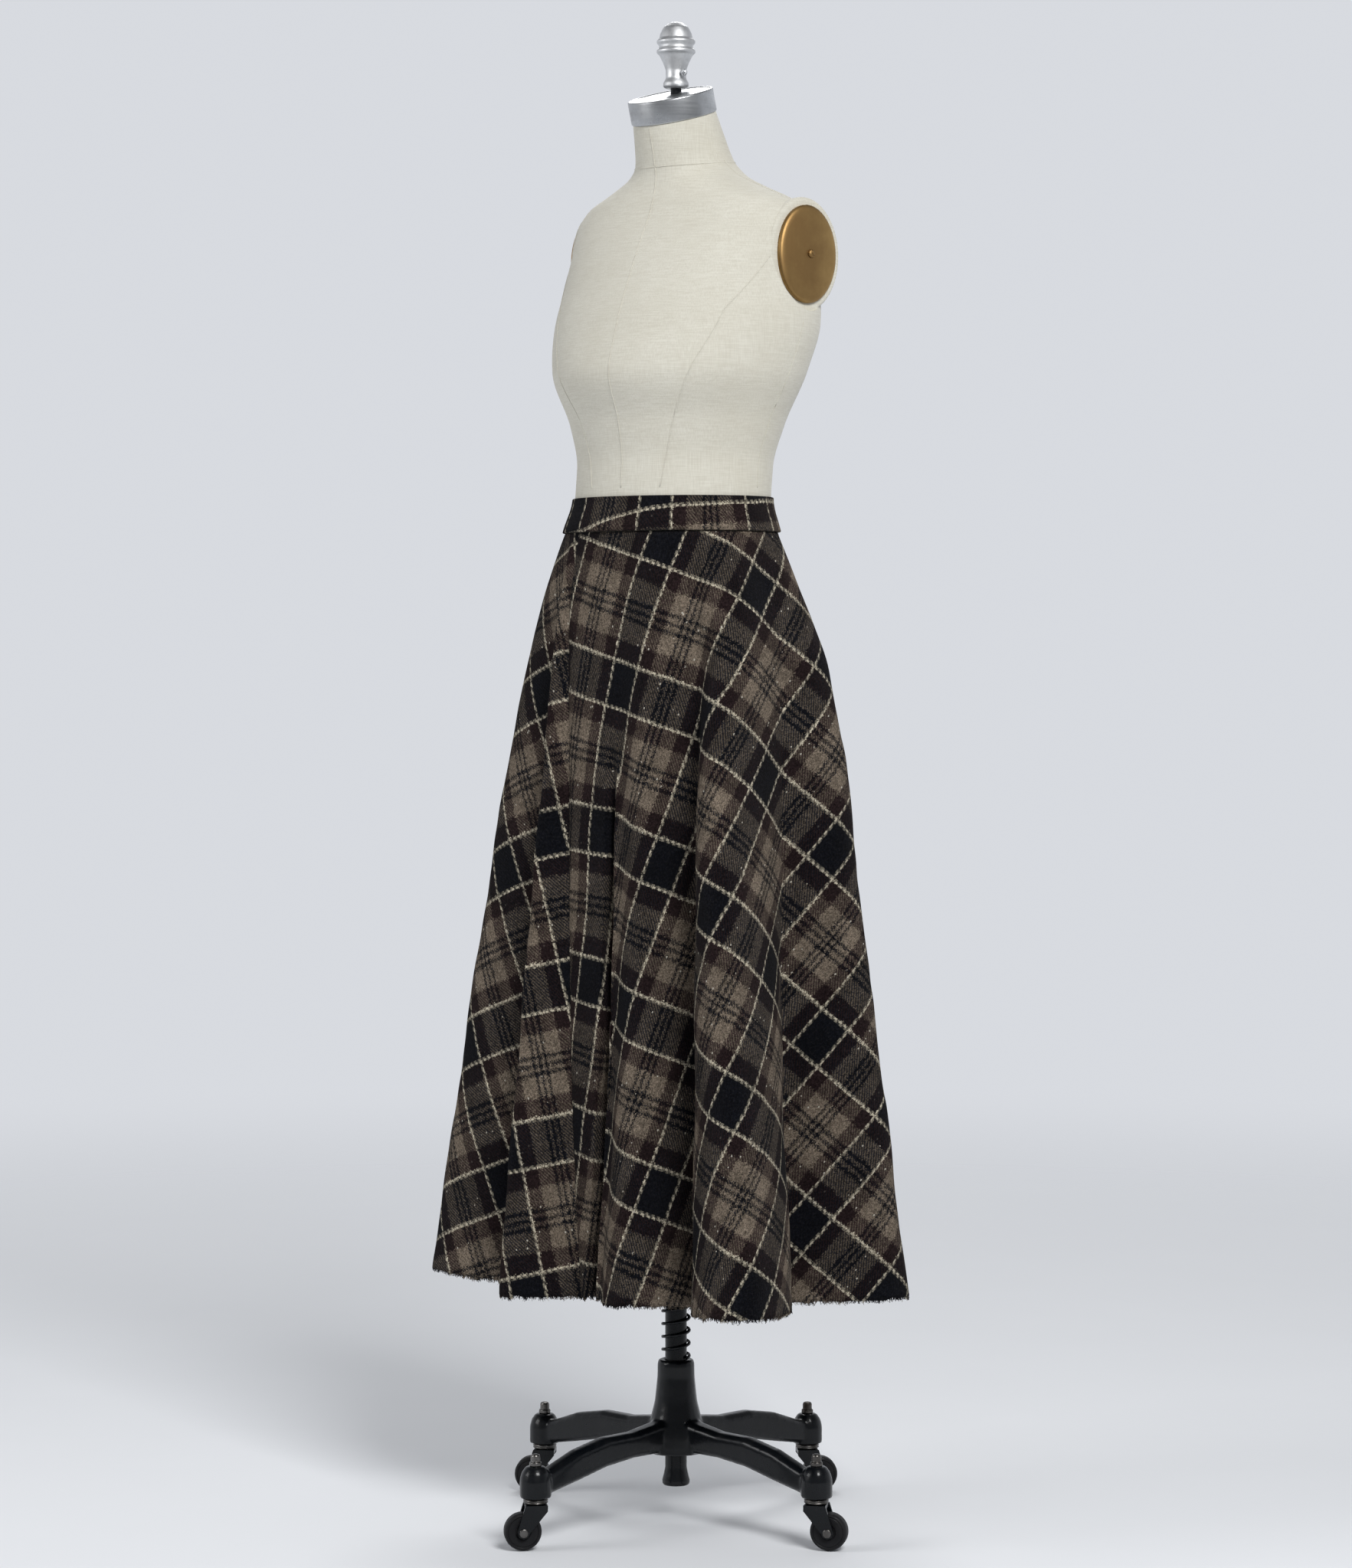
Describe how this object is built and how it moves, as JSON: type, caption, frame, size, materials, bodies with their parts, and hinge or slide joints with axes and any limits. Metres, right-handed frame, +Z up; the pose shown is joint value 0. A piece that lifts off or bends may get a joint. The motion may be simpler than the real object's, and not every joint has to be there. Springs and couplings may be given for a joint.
{
  "type": "circle skirt on dress form",
  "caption": "Long flared plaid tweed skirt with deep hanging folds, a plain waistband and a raw hem, worn on a limbless dress form on a caster stand.",
  "frame": {"origin": "on the floor under the pole, near enough the middle of the footprint", "axes": "+Z up along the pole, -Y to the form's front, +X to the form's left side"},
  "size_m": [0.5229, 0.4803, 1.6535],
  "materials": {
    "tweed": "brushed wool twill, plaid",
    "linen": "stretched canvas cover",
    "aluminium": "spun and turned",
    "brass": "satin, aged",
    "black_steel": "black enamel",
    "cast_iron": "black enamelled casting",
    "bright_steel": "zinc plated",
    "wheel": "hard black rubber",
    "zip_metal": "dark enamel"
  },
  "bodies": {
    "stand": {"stand_base": "cast_iron", "spring": "black_steel", "stud_front_left": "bright_steel", "stud_back_left": "bright_steel", "stud_back_right": "bright_steel", "stud_front_right": "bright_steel"},
    "form": {"skirt_panel_left": "tweed", "skirt_panel_right": "tweed", "waistband": "tweed", "form_torso": "linen", "neck_cap": "aluminium", "finial": "aluminium", "finial_screw": "aluminium", "arm_plate_left": "brass", "arm_screw_left": "brass", "arm_plate_right": "brass", "arm_screw_right": "brass", "finial_rod": "black_steel", "pole": "black_steel", "spring_collar": "black_steel", "zip_slider": "zip_metal"},
    "zip_pull": {"zip_pull": "zip_metal"},
    "caster_front_left": {"race_front_left": "black_steel", "fork_front_left": "black_steel", "axle_front_left": "bright_steel"},
    "roller_front_left": {"wheel_front_left": "wheel"},
    "caster_back_left": {"race_back_left": "black_steel", "fork_back_left": "black_steel", "axle_back_left": "bright_steel"},
    "roller_back_left": {"wheel_back_left": "wheel"},
    "caster_back_right": {"race_back_right": "black_steel", "fork_back_right": "black_steel", "axle_back_right": "bright_steel"},
    "roller_back_right": {"wheel_back_right": "wheel"},
    "caster_front_right": {"race_front_right": "black_steel", "fork_front_right": "black_steel", "axle_front_right": "bright_steel"},
    "roller_front_right": {"wheel_front_right": "wheel"}
  },
  "joints": [
    {"name": "pole_slide", "type": "slide", "parent": "stand", "child": "form", "axis": [0, 0, 1], "range_m": [-0.03, 0], "stiffness_N_per_m": 3500, "springref_m": 0.04, "deforming": ["spring"]},
    {"name": "zip_pull_hinge", "type": "hinge", "parent": "form", "child": "zip_pull", "pos_m": [0.05846, 0.08222, 1.12194], "axis": [0.918, -0.3934, 0.0492], "range_deg": [0, 160]},
    {"name": "swivel_front_left", "type": "hinge", "parent": "stand", "child": "caster_front_left", "pos_m": [0.21141, -0.02596, 0.055], "axis": [0, 0, 1], "continuous": true},
    {"name": "roll_front_left", "type": "hinge", "parent": "caster_front_left", "child": "roller_front_left", "pos_m": [0.2241, -0.02004, 0.02025], "axis": [-0.4226, 0.9063, 0], "continuous": true},
    {"name": "swivel_back_left", "type": "hinge", "parent": "stand", "child": "caster_back_left", "pos_m": [0.02596, 0.21141, 0.055], "axis": [0, 0, 1], "continuous": true},
    {"name": "roll_back_left", "type": "hinge", "parent": "caster_back_left", "child": "roller_back_left", "pos_m": [0.0362, 0.22096, 0.02025], "axis": [-0.682, 0.7314, 0], "continuous": true},
    {"name": "swivel_back_right", "type": "hinge", "parent": "stand", "child": "caster_back_right", "pos_m": [-0.21141, 0.02596, 0.055], "axis": [0, 0, 1], "continuous": true},
    {"name": "roll_back_right", "type": "hinge", "parent": "caster_back_right", "child": "roller_back_right", "pos_m": [-0.22315, 0.01833, 0.02025], "axis": [0.5446, -0.8387, 0], "continuous": true},
    {"name": "swivel_front_right", "type": "hinge", "parent": "stand", "child": "caster_front_right", "pos_m": [-0.02596, -0.21141, 0.055], "axis": [0, 0, 1], "continuous": true},
    {"name": "roll_front_right", "type": "hinge", "parent": "caster_front_right", "child": "roller_front_right", "pos_m": [-0.03568, -0.22148, 0.02025], "axis": [0.7193, -0.6947, 0], "continuous": true}
  ]
}
